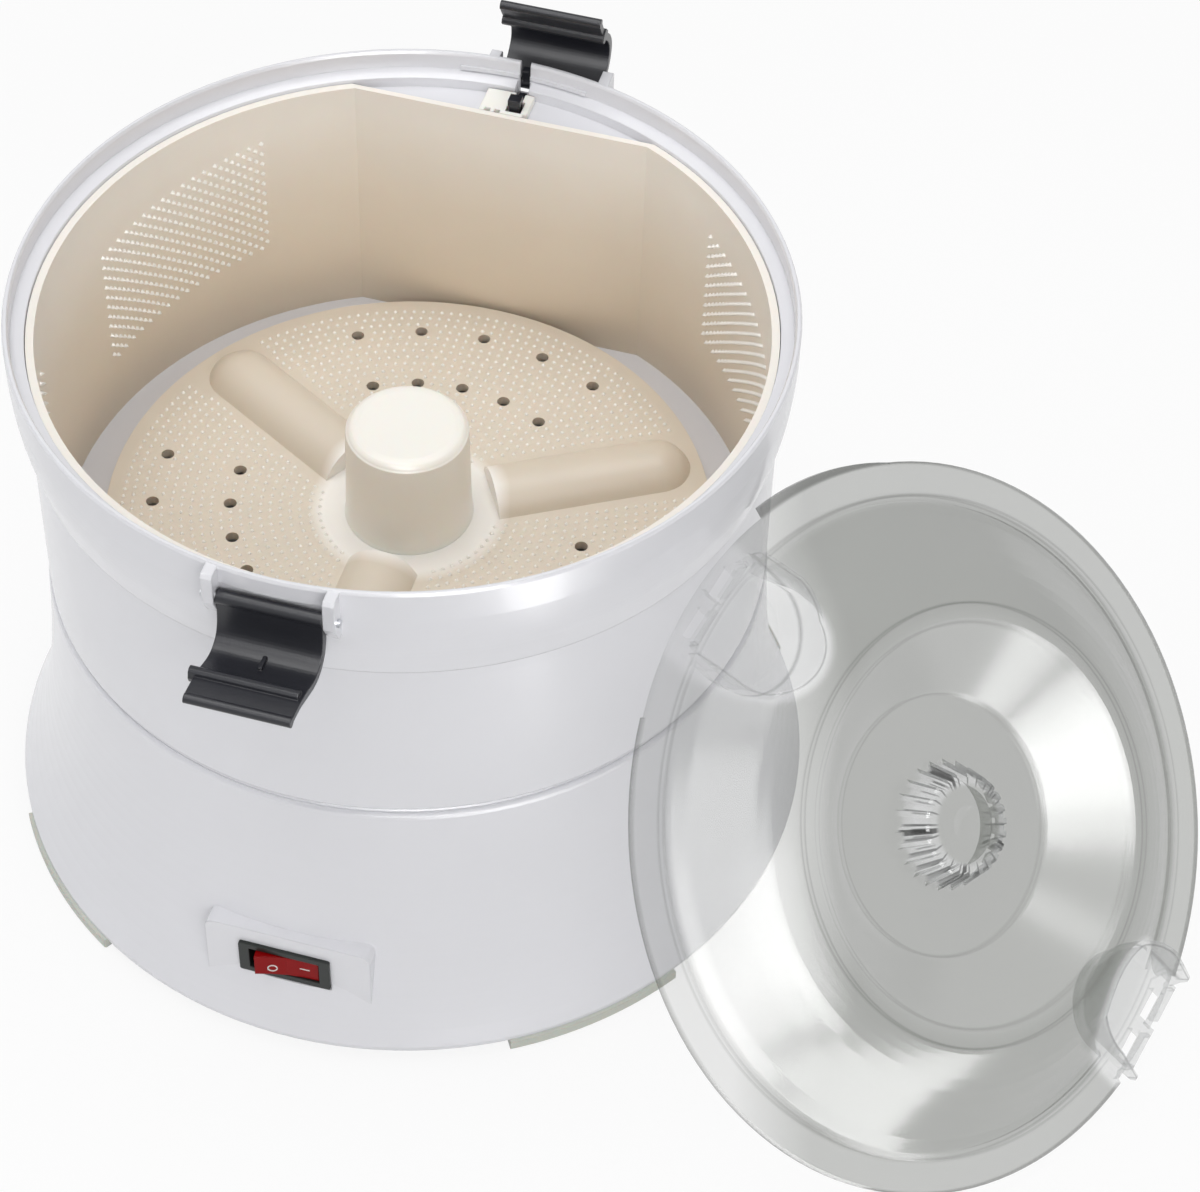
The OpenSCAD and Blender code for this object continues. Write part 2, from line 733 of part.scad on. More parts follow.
module lower_bush() {
    place() color(BRASS) {
        bush(plate_z - 1.5, plate_top + 3);
        translate([0, 0, plate_top]) ring(shaft_r + bush_wall + 2, shaft_r + run_gap, 2);
    }
}

module upper_bush() {
    place() color(BRASS) bush(collar_z, bush_top);
}

module shaft_seal() {
    place() color([0.12, 0.12, 0.12]) translate([0, 0, bush_top]) {
        ring(collar_r, shaft_r + run_gap, 1.6);
        ring(shaft_r + 3, shaft_r + run_gap, 3.6);
    }
}

// ---------- drum ----------
drum_line = concat([[drum_r - 1.7, drum_z], [drum_r + 0.2, drum_z + 2.6]],
    smooth([[drum_r + 0.2, drum_z + 12], [drum_r, rim_h - 43], [drum_r + 0.6, rim_h - 39],
        [drum_r + 1.9, rim_h - 33], [rim_r - 1.4, rim_h - 27], [rim_r - 0.5, rim_h - 20],
        [rim_r, rim_h - 12]], 3),
    [[rim_r, rim_h - 1], [rim_r - 0.5, rim_h], [rim_r - 1.5, rim_h], [lip_in, rim_h - 1]]);

module drum_body() {
    under = [for (p = shift(drum_line, [-drum_wall, 0]))
        if (p[1] > drum_z + 10 && p[1] < seat_z - 3) p];
    rotate_extrude() polygon(concat([[collar_r + 0.2, drum_z]], drum_line,
        [[lip_in, seat_z + 0.4], [drum_in + 0.6, seat_z - 0.8], [drum_in + 0.6, seat_z - 2.8],
        [lip_in - 0.6, seat_z - 2.8]], rev(under),
        [[drum_in, floor_top], [collar_r + 3, floor_top], [collar_r + 3, floor_top + 3],
        [collar_r + 0.2, floor_top + 3]]));
}

// one ear on each side of a clip's hinge
module ears(x0, half) {
    for (s = [-1, 1])
        translate([x0 + s * (half + ear_gap + ear_t / 2) - ear_t / 2, 0, 0])
            difference() {
                rotate([90, 0, 90]) linear_extrude(height = ear_t) polygon([
                    [-rim_r + 5, rim_h - 0.3], [-ear_front + 1, rim_h - 0.3],
                    [-ear_front, rim_h - 1.5], [-ear_front, hinge_z - 1.6],
                    [-ear_front + 0.9, hinge_z - 3.4], [-rim_r + 0.2, hinge_z - 8.6],
                    [-rim_r + 5, hinge_z - 8.6]]);
                translate([-1, -hinge_r, hinge_z]) rotate([0, 90, 0])
                    cylinder(r = pin_r, h = ear_t + 2, $fn = 32);
            }
}

// pocket in the rim's wall that a clip's barrel turns in
module hinge_recess(x0, half) {
    translate([x0 - half - ear_gap, -face_r - 12, hinge_z - 9.4])
        cube([2 * (half + ear_gap), 12, barrel_r + 1 + 9.4]);
}

module drum() {
    place() color(WHITE) difference() {
        union() {
            difference() {
                drum_body();
                hinge_recess(0, clip_half);
                rotate([0, 0, 180]) hinge_recess(-rear_shift, rear_half);
            }
            ears_trim() {
                ears(0, clip_half);
                rotate([0, 0, 180]) ears(-rear_shift, rear_half);
            }
            // lug that guides the push rod and carries its spring
            difference() {
                translate([rod_x - 6, rod_y - 4.5, lug_z]) cube([12, 20, 3]);
                rotate_extrude() translate([drum_in + 1, lug_z - 1]) square([30, 6]);
            }
            // shelf behind the liner's flat side
            difference() {
                translate([0, 0, shelf_top - shelf_t]) cylinder(r = lip_in + 0.2, h = shelf_t + 2);
                translate([0, 0, shelf_top]) cylinder(r = drum_in + 0.6, h = 10);
                translate([-rim_r, -2 * rim_r + flat_out + 0.2, seat_z - 30])
                    cube([2 * rim_r, 2 * rim_r, 60]);
            }
            // strip on the inside of the rim
            rotate([0, 0, 78]) rotate_extrude(angle = 21)
                translate([lip_in - 0.7, seat_z + 0.8]) square([1.2, 1.6]);
            // bosses for the screws from the base
            for (a = drum_screw_at)
                at(drum_screw_r, a) translate([0, 0, base_h])
                    cylinder(r = 5, h = floor_top + 3.5 - base_h);
        }
        translate([rod_x, rod_y, lug_z - 1]) cylinder(r = rod_r + 0.08, h = 6, $fn = 32);
        translate([rod_x, rod_y, drum_z - 1]) cylinder(r = rod_r + 0.8, h = drum_floor + 3, $fn = 32);
        for (a = drum_screw_at)
            at(drum_screw_r, a) translate([0, 0, base_h - 1])
                cylinder(r = screw_r, h = 7.5, $fn = 32);
        // slot in the shelf for the push rod and its tongue
        intersection() {
            translate([rod_x - 2.4, rod_y - 2.6, shelf_top - shelf_t - 1]) cube([4.8, 20, 8]);
            cylinder(r = lip_in - 0.8, h = 2 * rim_h);
        }
        // notch that lets a clip's finger reach the push rod
        translate([rod_x - notch_w / 2, lip_in - 6, hinge_z - 2.2]) cube([notch_w, 14, 30]);
    }
}

notch_w = 3.6;

// keeps the ears off the lid's seat
module ears_trim() {
    difference() {
        union() children();
        translate([0, 0, seat_z - 30]) cylinder(r = lip_in + 0.8, h = 60);
    }
}

module drum_screws() {
    place() color(STEEL) for (a = drum_screw_at)
        at(drum_screw_r, a) translate([0, 0, deck_low]) screw(9);
}

module liner() {
    place() color(CREAM) translate([0, 0, floor_top]) difference() {
        union() {
            cut_round(liner_out, flat_out, liner_top - floor_top);
            // collar that closes the gap to the drum's ledge
            translate([0, 0, liner_top - floor_top - 1.6]) cut_round(drum_in + 0.4, flat_out, 1.6);
        }
        translate([0, 0, -1]) cut_round(liner_in, flat_y, liner_top - floor_top + 2);
    }
}

// disc of radius r with a flat side at y
module cut_round(r, y, h) {
    difference() {
        cylinder(r = r, h = h);
        translate([-2 * r, y, -1]) cube([4 * r, 2 * r, h + 2]);
    }
}

// ---------- safety lock ----------
module interlock_bracket() {
    place() color([0.90, 0.88, 0.84]) difference() {
        intersection() {
            translate([-8.2, flat_out + 0.3, shelf_top]) cube([16.4, 20, 2.4]);
            cylinder(r = drum_in, h = 400);
        }
        translate([rod_x - 2.7, rod_y - 3, liner_top - 4]) cube([5.4, 6, 5]);
        translate([rod_x - 1.6, rod_y, liner_top - 4]) cube([3.2, 20, 5]);
        for (x = [-6.4, -3, rod_x + 3.6])
            translate([x, flat_out - 1, liner_top - 4]) cube([2, 3, 5]);
    }
}

module interlock_rod() {
    place() color(SLATE) translate([rod_x, rod_y, 0]) {
        translate([0, 0, rod_low]) cylinder(r = rod_r, h = liner_top + 0.6 - rod_low, $fn = 32);
        translate([0, 0, spring_z + spring_len]) cylinder(r = coil_r + 0.8, h = 2, $fn = 32);
        translate([-1.6, -2, liner_top - 6]) cube([3.2, 3.6, 8]);
        translate([-2.1, -1.9, liner_top + 1.2]) cube([4.2, 3.8, 2.4]);
        // tongue below the rear clip's tab
        translate([-1.2, 0, tongue_z - 3.4]) cube([2.4, 10, 3.4]);
    }
}

coil_turns = 6;
coil_steps = 14;
coil_sides = 6;

module interlock_spring() {
    n = coil_turns * coil_steps;
    len_c = spring_len - 2 * wire_r;
    pts = [for (i = [0 : n]) for (k = [0 : coil_sides - 1])
        let (a = 360 * i / coil_steps, q = 360 * k / coil_sides, r = coil_r + wire_r * cos(q))
        [r * cos(a), r * sin(a), wire_r + len_c * i / n + wire_r * sin(q)]];
    side = [for (i = [0 : n - 1]) for (k = [0 : coil_sides - 1])
        let (k2 = (k + 1) % coil_sides, b = i * coil_sides)
        each [[b + k, b + k2 + coil_sides, b + k2],
            [b + k, b + k + coil_sides, b + k2 + coil_sides]]];
    ends = [[for (k = [0 : coil_sides - 1]) k],
        [for (k = [coil_sides - 1 : -1 : 0]) n * coil_sides + k]];
    place() color(STEEL) translate([rod_x, rod_y, spring_z]) polyhedron(pts, concat(side, ends));
}

micro_w = 20;

module microswitch() {
    place() color([0.15, 0.15, 0.16]) difference() {
        union() {
            translate([rod_x - micro_w / 2, switch_y0, press_z - 12]) cube([micro_w, 6, 10.2]);
            translate([rod_x, rod_y, press_z - 4]) cylinder(r = 1.3, h = 2.2 + 1.6, $fn = 32);
            for (x = [-7, 0, 7])
                translate([rod_x + x - 0.4, rod_y - 1.6, press_z - 17]) cube([0.8, 3.2, 5.5]);
        }
        for (x = [-4.8, 4.8])
            translate([rod_x + x, switch_y0 - 1, press_z - 9]) rotate([-90, 0, 0])
                cylinder(r = 1.2, h = 8, $fn = 24);
    }
}

// ---------- peeling disc ----------
// rounded bar lying along a radius of the disc
module disc_bar() {
    drop = bar_r - bar_h;
    far = disc_r - 4 - sqrt(bar_r * bar_r - drop * drop);
    translate([0, 0, disc_top - drop]) {
        translate([hub_r + 8, 0, 0]) rotate([0, 90, 0])
            cylinder(r = bar_r, h = far - hub_r - 8, $fn = 64);
        translate([far, 0, 0]) sphere(r = bar_r, $fn = 64);
    }
}

module peeling_disc() {
    place() color(CREAM) difference() {
        union() {
            translate([0, 0, disc_z]) cylinder(r = disc_r, h = disc_t);
            translate([0, 0, disc_z - 1.5]) cylinder(r = 13, h = disc_t + boss_h + 1.5);
            intersection() {
                for (k = [0 : disc_bars - 1])
                    rotate([0, 0, 30 + k * 360 / disc_bars]) disc_bar();
                translate([0, 0, disc_z + 1]) ring(disc_r, hub_r + 4, 40);
            }
        }
        difference() {
            translate([0, 0, disc_z - 2]) cylinder(r = shaft_r, h = 60, $fn = 64);
            for (s = [-1, 1])
                translate([s * (shaft_r + 4.1) - 5, -10, disc_z]) cube([10, 20, 60]);
        }
        // drain holes between the bars
        for (k = [0 : disc_bars - 1])
            rotate([0, 0, 30 + (k + 0.5) * 360 / disc_bars]) for (a = [-30 : 15 : 30])
                rotate([0, 0, a]) for (r = [60, 86])
                    translate([r, 0, disc_z - 2]) cylinder(r = 2.2, h = 10, $fn = 24);
    }
}

module disc_nut() {
    place() color(STEEL) translate([0, 0, nut_z]) difference() {
        cylinder(r = 8.5, h = 5, $fn = 6);
        difference() {
            translate([0, 0, -1]) cylinder(r = shaft_r, h = 8, $fn = 64);
            for (s = [-1, 1])
                translate([s * (shaft_r + 4.1) - 5, -10, -2]) cube([10, 20, 12]);
        }
    }
}

module disc_hub() {
    h = hub_h;
    place() color(WHITE) translate([0, 0, disc_top]) rotate_extrude() polygon(concat(
        [[13, 0], [hub_r + 1.2, 0], [hub_r + 0.8, 1.5]],
        smooth([[hub_r + 0.4, h * 0.4], [hub_r, h - 4.5], [hub_r - 0.6, h - 2],
            [hub_r - 2.2, h - 0.5], [hub_r - 4.6, h]], 3),
        [[0, h], [0, h - hub_wall], [hub_r - hub_wall - 1, h - hub_wall],
        [hub_r - hub_wall, boss_h + 1], [13, boss_h]]));
}

// ---------- clips ----------
// the clip's plate hangs from its hinge and curls outwards; x is outwards, y up
clip_top = smooth([[1.3, -1.6], [1.4, -6], [2, -10], [3.7, -13.4], [7.4, -15.3], [11.5, -15.1],
    [16.5, -13.3], [21.5, -12], [26, -11.3], [29.6, -11.1]], 4);
clip_under = smooth([[-1.3, -1.6], [-1.2, -6], [-0.6, -11], [1.6, -15.2], [5.6, -17.9],
    [11, -17.9], [17, -15.9], [22, -14.2], [26, -13.5], [29.6, -13.3]], 4);
lip_x = 29.6;
lip_y = -12.4;

// strip of the clip's section, from one side to the other
module strip(half) {
    rotate([90, 0, 90]) translate([0, 0, -half]) linear_extrude(height = 2 * half) children();
}

// half is the half width of the plate, bar_x the latching bar's offset
module clip_shape(half, bar_x) {
    difference() {
        union() {
            strip(half) polygon(concat(clip_top, rev(clip_under)));
            rotate([0, 90, 0]) translate([0, 0, -half])
                cylinder(r = barrel_r, h = 2 * half, $fn = 48);
            // latching bar
            translate([bar_x, 0, 0]) strip(bar_half - clip_half + half) polygon([[17.2, -14.6], [18.3, -11.2], [19.2, -10.3], [20.6, -10.2],
                [21.4, -11], [21.9, -13.2], [21.4, -15], [18.6, -15.9]]);
            // rounded end of the finger lip
            rotate([0, 90, 0]) translate([-lip_y, lip_x, -half])
                cylinder(r = lip_r, h = 2 * half, $fn = 32);
        }
        rotate([0, 90, 0]) translate([0, 0, -half - 1])
            cylinder(r = pin_r + run_gap, h = 2 * half + 2, $fn = 32);
    }
}

module front_side() {
    translate([0, -hinge_r, hinge_z]) mirror([0, 1, 0]) children();
}

module clip_front() {
    place() color(SLATE) front_side() {
        clip_shape(clip_half, -bar_shift);
        // small rib on the inner face
        translate([-0.6, 6.5, -16]) cube([1.2, 5, 1.8]);
    }
}

module clip_rear() {
    place() color(SLATE) rotate([0, 0, 180]) translate([-rear_shift, 0, 0]) front_side()
        rotate([rear_clip_turn, 0, 0]) {
            clip_shape(rear_half, 0);
            // tab that swings through the rim's notch onto the push rod's tongue
            translate([rear_shift - rod_x, 0, 0]) strip(1.2)
                polygon([[1.5, -1.5], [7, -2.3], [7.6, -0.1], [1.9, 1.1]]);
        }
}

module clip_pin(half) {
    rotate([0, 90, 0]) translate([0, 0, -half - ear_gap - ear_t - 1])
        cylinder(r = pin_r, h = 2 * (half + ear_gap + ear_t + 1), $fn = 32);
}

module clip_front_pin() {
    place() color(STEEL) front_side() clip_pin(clip_half);
}
module clip_rear_pin() {
    place() color(STEEL) rotate([0, 0, 180]) translate([-rear_shift, 0, 0])
        front_side() clip_pin(rear_half);
}

// ---------- lid ----------
lid_line = concat([[lid_r, 0], [lid_r, lid_t * 0.6], [lid_r - 0.8, lid_t + 0.1]],
    [[brim_r + 1, lid_t + 0.9], [brim_r - 1.5, lid_t + 1.8]],
    smooth([[brim_r - 6, lid_t + 4.6], [crown_r + 14, crown_h - 6.4], [crown_r + 4, crown_h - 1.2],
        [crown_r, crown_h]], 3),
    [[crown_r - 4.5, crown_h], [crown_r - 6, crown_h - 1.2], [dish_r + 1.5, dish_h + 0.9],
        [dish_r, dish_h]]);

module lid_fill(drop) {
    rotate_extrude() polygon(concat([[0, drop > 0 ? -1 : 0]],
        drop > 0 ? [[lid_line[3][0] - 2, -1]] : [lid_line[0]],
        [for (i = [drop > 0 ? 4 : 1 : len(lid_line) - 1]) lid_line[i] - [0, drop]],
        [[0, dish_h - drop]]));
}

// places something at a pocket's round end, +X towards the lid's edge
module pocket_at(a) {
    rotate([0, 0, a]) translate([pocket_c, 0, 0]) children();
}

// half section of a pocket, or of its walls where d is their thickness
pocket_floor = lid_t + 1;
pocket_top = crown_h + 4;
function pocket_line(d) = [[pocket_r + d * 1.1, pocket_floor - 1.5 * d],
    [pocket_r + d * 1.1, pocket_floor], [pocket_r + 0.85 * pocket_flare + d, 10],
    [pocket_r + pocket_flare + d, 15], [pocket_r + pocket_flare + 0.4 + d, pocket_top]];

// a pocket is round towards the crown and runs out straight over the brim
module pocket_form(d) {
    half = pocket_line(d);
    low = pocket_floor - 1.5 * d;
    rotate_extrude() polygon(concat([[0, low]], half, [[0, pocket_top]]));
    rotate([90, 0, 90]) linear_extrude(height = pocket_in + 12)
        polygon(concat(half, rev([for (p = half) [-p[0], p[1]]])));
}

// walls that stand up beside a pocket above the slope and the brim
module pocket_walls() {
    intersection() {
        pocket_form(lid_t);
        translate([0, pocket_r * 2, 0]) rotate([90, 0, 0]) linear_extrude(height = pocket_r * 4)
            polygon([[-pocket_r - 12, 0], [-pocket_r - 12, pocket_high], [-0.5, pocket_high],
                [wall_end, pocket_low], [wall_end, 0]]);
    }
}

ridge_x = 12.4;
ridge_t = 1.6;

// ridge that a clip's bar snaps behind, with a round boss at each end
module lid_ridge() {
    for (s = [-1, 1]) {
        translate([ridge_x, s > 0 ? 2.8 : -pocket_r - 1.4, lid_t * 0.5])
            cube([ridge_t, pocket_r - 1.4, ridge_h]);
        translate([ridge_x - 1.3, s * (pocket_r + 4), lid_t * 0.5]) cylinder(r = 2.6, h = 3.4, $fn = 32);
    }
    // rib from the ridge to the lid's edge
    translate([ridge_x, -1.4, lid_t * 0.5]) cube([pocket_in - ridge_x + 0.4, 2.8, 3.6]);
    translate([pocket_in - 1.6, 0, lid_t * 0.5]) cylinder(r = 2, h = 3.4, $fn = 32);
}

// two slots through the brim below the ridge; the push rod's cap comes up
// through one of them
module lid_slots() {
    for (s = [-1, 1])
        translate([rod_y - pocket_c - 2.7, s * (rear_shift - rod_x) - 5.6, -1]) cube([5.4, 11.2, 5.6]);
}

// ear of the brim beside the left pocket, from angle a0 out to a1
function ear_out(t) = brim_ear * (1 - pow(1 - t, 2));
module brim_ear_at(a0, a1) {
    n = 12;
    linear_extrude(height = lid_t + 0.1) polygon(concat(
        [for (i = [0 : n]) let (a = a0 + (a1 - a0) * i / n, r = lid_r - 0.1 + ear_out(i / n))
            [r * cos(a), r * sin(a)]],
        [for (i = [n : -1 : 0]) let (a = a0 + (a1 - a0) * i / n, r = lid_r - 4)
            [r * cos(a), r * sin(a)]]));
}

module lid_knob() {
    difference() {
        union() {
            translate([0, 0, dish_h - 0.5]) cylinder(r1 = knob_r - 1.9, r2 = knob_r - 6.4, h = knob_h + 0.5);
            for (k = [0 : knob_ribs - 1])
                rotate([0, 0, k * 360 / knob_ribs]) translate([0, 0.9, dish_h - 0.5])
                    rotate([90, 0, 0]) linear_extrude(height = 1.8)
                        polygon([[6, 0], [knob_r, 0], [knob_r - 4.6, knob_h - 0.4],
                            [knob_r - 5.4, knob_h + 0.4], [6, knob_h + 0.4]]);
        }
        // dimple
        translate([0, 0, dish_h + knob_h + 13]) sphere(r = 14.4, $fn = 64);
        // hollow below
        translate([0, 0, dish_h - lid_t - 1])
            cylinder(r1 = knob_r - 4.4, r2 = knob_r - 8.6, h = knob_h - 0.4);
    }
}

module lid_flat() {
    difference() {
        union() {
            lid_shell();
            for (a = pocket_turns)
                pocket_at(a) lid_ridge();
            brim_ear_at(pocket_turns[0] - 44.4, pocket_turns[0] - 17.7);
        }
        for (a = pocket_turns)
            pocket_at(a) lid_slots();
        // steps in the brim's edge at the pockets
        rotate([0, 0, pocket_turns[0] - 17.7]) rotate_extrude(angle = 39)
            translate([lid_r - 0.8, -1]) square([10, 10]);
        rotate([0, 0, pocket_turns[1] - 9.8]) rotate_extrude(angle = 21.3)
            translate([lid_r - 2.4, -1]) square([10, 10]);
    }
}

module lid_shell() {
    difference() {
        union() {
            difference() {
                lid_fill(0);
                lid_fill(lid_t);
            }
            for (a = pocket_turns) {
                intersection() {
                    lid_fill(0);
                    pocket_at(a) pocket_form(lid_t);
                }
                pocket_at(a) pocket_walls();
            }
            difference() {
                lid_knob();
                translate([0, 0, dish_h - lid_t - knob_r]) cylinder(r = 2 * knob_r, h = knob_r);
            }
        }
        for (a = pocket_turns)
            pocket_at(a) pocket_form(0);
        // the knob's hollow opens through the dish
        translate([0, 0, dish_h - lid_t - 1])
            cylinder(r1 = knob_r - 4.4, r2 = knob_r - 8.6, h = knob_h - 0.4);
    }
}

module lean() {
    translate([lean_d * sin(lean_at), -lean_d * cos(lean_at), lid_r * cos(lean_el)])
        rotate([0, 0, lean_az]) rotate([90 - lean_el, 0, 0]) children();
}

module lid() {
    place() color([0.72, 0.74, 0.70, 0.5]) lean() lid_flat();
}

base_housing();
base_cover();
foot_front_left();
foot_front_right();
foot_rear_left();
foot_rear_right();
cover_screws();
switch_frame();
switch_rocker();
switch_terminals();
cord_gland();
gear_plate();
plate_screws();
motor_can();
motor_magnets();
motor_end_cap();
motor_rotor();
motor_pinion();
motor_fan();
rectifier_board();
idler_axle();
idler_gear();
drive_gear();
drive_shaft();
shaft_circlip();
lower_bush();
upper_bush();
shaft_seal();
drum();
drum_screws();
liner();
interlock_bracket();
interlock_rod();
interlock_spring();
microswitch();
peeling_disc();
disc_nut();
disc_hub();
clip_front();
clip_front_pin();
clip_rear();
clip_rear_pin();
lid();
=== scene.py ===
import math

import bpy
from mathutils import Matrix, Vector


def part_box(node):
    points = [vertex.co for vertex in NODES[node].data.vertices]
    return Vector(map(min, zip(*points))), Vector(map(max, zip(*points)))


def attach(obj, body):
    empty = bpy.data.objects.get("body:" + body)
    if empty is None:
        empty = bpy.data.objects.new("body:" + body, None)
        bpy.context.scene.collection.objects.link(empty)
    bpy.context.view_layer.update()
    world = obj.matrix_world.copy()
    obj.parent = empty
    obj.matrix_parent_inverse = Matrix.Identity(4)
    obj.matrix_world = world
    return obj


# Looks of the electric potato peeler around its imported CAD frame. Blender's
# objects are in metres in the part's own frame. What goes into at() is in
# millimetres about the drum's axis.
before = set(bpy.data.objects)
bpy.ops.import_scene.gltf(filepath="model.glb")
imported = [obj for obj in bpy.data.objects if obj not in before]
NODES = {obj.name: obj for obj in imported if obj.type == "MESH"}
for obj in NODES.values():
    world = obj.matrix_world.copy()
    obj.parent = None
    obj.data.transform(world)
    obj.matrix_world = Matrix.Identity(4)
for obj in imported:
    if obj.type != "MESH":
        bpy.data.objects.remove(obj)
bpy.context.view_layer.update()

# ---------- the drum's axis in the part's frame ----------
hub_low, hub_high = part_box("disc_hub")
AXIS_X = (hub_low[0] + hub_high[0]) / 2
AXIS_Y = (hub_low[1] + hub_high[1]) / 2
DISC_TOP = hub_low[2] * 1000


def at(x, y, z):
    """Millimetres about the drum's axis to metres in the part's frame."""
    return Vector((x / 1000 + AXIS_X, y / 1000 + AXIS_Y, z / 1000))


# ---------- camera ----------
CAM_RIGHT = Vector((0.96280993, 0.26879129, 0.02735481))
CAM_DOWN = Vector((0.21753785, -0.71118735, -0.6684982))
CAM_AHEAD = Vector((-0.1602321, 0.64958741, -0.74321052))
CAM_AT = at(240.049, -701.126, 899.899)

cam = bpy.data.objects.new("camera", bpy.data.cameras.new("camera"))
bpy.context.scene.collection.objects.link(cam)
bpy.context.scene.camera = cam
turn = Matrix((CAM_RIGHT, -CAM_DOWN, -CAM_AHEAD)).transposed().to_4x4()
cam.matrix_world = Matrix.Translation(CAM_AT) @ turn
cam.data.lens = 96
cam.data.sensor_width = 36
cam.data.clip_end = 20


# ---------- node helpers ----------
class Net:
    """A small builder for the nodes of one material or world."""

    def __init__(self, name, world=False):
        self.m = (bpy.data.worlds if world else bpy.data.materials).new(name)
        self.m.use_nodes = True
        self.t = self.m.node_tree
        self.b = self.t.nodes["Background" if world else "Principled BSDF"]
        self.tex = self.t.nodes.new("ShaderNodeTexCoord")
        self.co = self.tex.outputs["Object"]

    def add(self, kind, **values):
        n = self.t.nodes.new("ShaderNode" + kind)
        for k, v in values.items():
            if k in n.inputs:
                n.inputs[k].default_value = v
            else:
                setattr(n, k, v)
        return n

    def link(self, a, b):
        self.t.links.new(a, b)

    def math(self, op, a, b=None):
        n = self.add("Math", operation=op)
        for i, v in enumerate((a, b)):
            if v is None:
                continue
            if isinstance(v, (int, float)):
                n.inputs[i].default_value = v
            else:
                self.link(v, n.inputs[i])
        return n.outputs[0]

    def mul(self, a, b):
        return self.math("MULTIPLY", a, b)

    def plus(self, a, b):
        return self.math("ADD", a, b)

    def most(self, a, b):
        return self.math("MAXIMUM", a, b)

    def length(self, a, b):
        return self.math("SQRT", self.plus(self.mul(a, a), self.mul(b, b)))

    def noise(self, scale, detail=3, rough=0.5, stretch=None):
        n = self.add("TexNoise", Scale=scale, Detail=detail, Roughness=rough)
        if stretch:
            mp = self.add("Mapping", Scale=stretch)
            self.link(self.co, mp.inputs["Vector"])
            self.link(mp.outputs[0], n.inputs["Vector"])
        else:
            self.link(self.co, n.inputs["Vector"])
        return n.outputs["Fac"]

    def ramp(self, fac, stops, smooth=False):
        """Colour ramp; a stop's colour is a grey level or three numbers."""
        n = self.add("ValToRGB")
        if smooth:
            n.color_ramp.interpolation = "EASE"
        e = n.color_ramp.elements
        while len(e) < len(stops):
            e.new(0.5)
        for i, (p, c) in enumerate(stops):
            e[i].position = p
            c = (c, c, c) if isinstance(c, (int, float)) else c
            e[i].color = (*c, 1)
        self.link(fac, n.inputs["Fac"])
        return n.outputs["Color"]

    def span(self, value, lo, hi, to_lo, to_hi):
        """Maps lo..hi to to_lo..to_hi and stays within them."""
        n = self.add("MapRange")
        for k, v in (("From Min", lo), ("From Max", hi),
                     ("To Min", to_lo), ("To Max", to_hi)):
            n.inputs[k].default_value = v
        self.link(value, n.inputs["Value"])
        return n.outputs[0]

    def blend(self, kind, factor, a, b):
        """Mix of two colours; factor and b are a number, a colour or a socket."""
        n = self.add("Mix", data_type="RGBA", blend_type=kind)
        for v, slot in ((factor, n.inputs["Factor"]), (a, n.inputs[6]), (b, n.inputs[7])):
            if isinstance(v, (int, tuple)):
                slot.default_value = v
            else:
                self.link(v, slot)
        return n.outputs[2]

    def blend_shaders(self, fac, a, b, output):
        n = self.add("MixShader")
        self.link(fac, n.inputs[0])
        self.link(a.outputs[0], n.inputs[1])
        self.link(b.outputs[0], n.inputs[2])
        self.link(n.outputs[0], self.t.nodes[output].inputs["Surface"])

    def bump(self, height, strength, distance, soften=0.0):
        """Bump, over edges rounded by the radius soften."""
        n = self.add("Bump", Strength=strength, Distance=distance)
        if soften:
            edge = self.add("Bevel", samples=4, Radius=soften)
            self.link(edge.outputs[0], n.inputs["Normal"])
        self.link(height, n.inputs["Height"])
        self.link(n.outputs[0], self.b.inputs["Normal"])

    def set(self, **values):
        for k, v in values.items():
            self.b.inputs[k.replace("_", " ")].default_value = v


def lin(c):
    """sRGB 0-255 to linear."""
    out = []
    for v in c:
        v = v / 255
        out.append(v / 12.92 if v <= 0.04045 else ((v + 0.055) / 1.055) ** 2.4)
    return tuple(out)


# ---------- world ----------
SKY_STOPS = [(0.45, 0.55), (0.62, 0.8), (1.0, 1.0)]  # grey below, white above
SKY_STRENGTH = 0.55
SKY_IN_GLOSS = 0.3  # share of plain white that gloss sees

sky = Net("studio", world=True)
bpy.context.scene.world = sky.m
split = sky.add("SeparateXYZ")
sky.link(sky.tex.outputs["Generated"], split.inputs[0])
height = sky.span(split.outputs["Z"], -1, 1, 0, 1)
sky.link(sky.ramp(height, SKY_STOPS, True), sky.b.inputs["Color"])
sky.set(Strength=SKY_STRENGTH)
path = sky.add("LightPath")
seen = sky.most(path.outputs["Is Camera Ray"], path.outputs["Is Transmission Ray"])
seen = sky.most(seen, sky.mul(path.outputs["Is Glossy Ray"], SKY_IN_GLOSS))
paper = sky.add("Background", Strength=1.0)
paper.inputs["Color"].default_value = (1, 1, 1, 1)
sky.blend_shaders(seen, sky.b, paper, "World Output")
bpy.context.scene.view_settings.view_transform = "Standard"


# ---------- lamps ----------
def area(name, loc, aim, size, power, tall=None, color=(1, 1, 1)):
    """Area lamp of size x tall metres at loc, facing aim."""
    data = bpy.data.lights.new(name, "AREA")
    data.size = size
    if tall:
        data.shape = "RECTANGLE"
        data.size_y = tall
    data.energy = power
    data.color = color
    o = bpy.data.objects.new(name, data)
    o.location = loc
    o.rotation_euler = (aim - loc).to_track_quat("-Z", "Y").to_euler()
    bpy.context.scene.collection.objects.link(o)
    return o


CENTRE = at(0, 0, 100)
area("top", at(-150, 150, 1900), CENTRE, 1.3, 17)
area("front", at(850, -1350, 850), CENTRE, 1.1, 10)
area("left", at(-1500, -300, 600), CENTRE, 1.0, 4.5, tall=1.2, color=(0.96, 0.98, 1))

